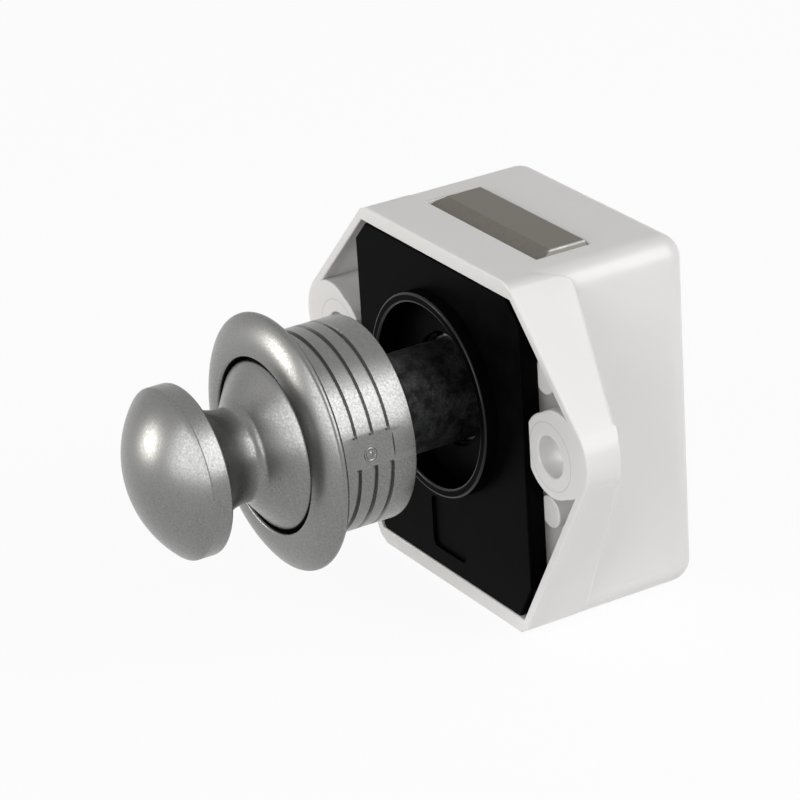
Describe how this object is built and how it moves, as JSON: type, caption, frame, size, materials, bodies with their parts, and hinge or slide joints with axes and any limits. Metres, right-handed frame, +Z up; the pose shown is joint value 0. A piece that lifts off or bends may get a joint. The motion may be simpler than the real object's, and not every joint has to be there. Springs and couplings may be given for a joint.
{
  "type": "push button cabinet lock",
  "caption": "Push button cabinet lock: waisted knob and grooved rosette on a spindle, push-push mechanism in an eared cover, and a bolt that rises from its top.",
  "frame": {"origin": "on the spindle's axis, in the plane of the cover's rim that meets the back of the door, midway between the two screw holes", "axes": "+X to the right for someone in front of the door, +Y into the lock body and away from the knob, +Z up, the way the bolt comes out"},
  "size_m": [0.0652, 0.0689, 0.0475],
  "materials": {
    "white_abs": "semi-gloss moulded",
    "black_abs": "semi-gloss moulded",
    "bolt_zinc": "dark passivated die casting",
    "spring_steel": "drawn wire",
    "acetal": "moulded",
    "spindle_zinc": "mottled dark casting",
    "brass": "machined",
    "satin_chrome": "satin plated"
  },
  "bodies": {
    "lock_body": {"cover": "white_abs", "base_plate": "black_abs", "follower_clip": "spring_steel", "return_spring": "spring_steel", "bolt_spring_left": "spring_steel", "bolt_spring_right": "spring_steel"},
    "push_rod": {"knob": "satin_chrome", "knob_insert": "brass", "knob_stud": "spring_steel", "spindle": "spindle_zinc", "spindle_pin": "spring_steel", "carriage": "acetal"},
    "bolt": {"latch_bolt": "bolt_zinc"},
    "follower": {"follower_pin": "spring_steel"},
    "rosette_ring": {"rosette": "satin_chrome"}
  },
  "joints": [
    {"name": "knob_slide", "type": "slide", "parent": "lock_body", "child": "push_rod", "axis": [0, 1, 0], "range_m": [0, 0.008], "stiffness_N_per_m": 900, "springref_m": -0.004, "deforming": ["return_spring"]},
    {"name": "bolt_slide", "type": "slide", "parent": "lock_body", "child": "bolt", "axis": [0, 0, 1], "range_m": [0, 0.0057], "deforming": ["bolt_spring_left", "bolt_spring_right"]},
    {"name": "follower_swing", "type": "hinge", "parent": "lock_body", "child": "follower", "pos_m": [0, 0.0226, -0.0118], "axis": [0, 0, 1], "range_deg": [0, 14.8]},
    {"name": "rosette_slide", "type": "slide", "parent": "lock_body", "child": "rosette_ring", "axis": [0, 1, 0], "range_m": [0, 0.0092]}
  ],
  "couplings": [
    {"joint": "bolt_slide", "follows": "knob_slide", "ratio": 0.7},
    {"joint": "follower_swing", "follows": "knob_slide", "rad_per_m": 32.2}
  ]
}
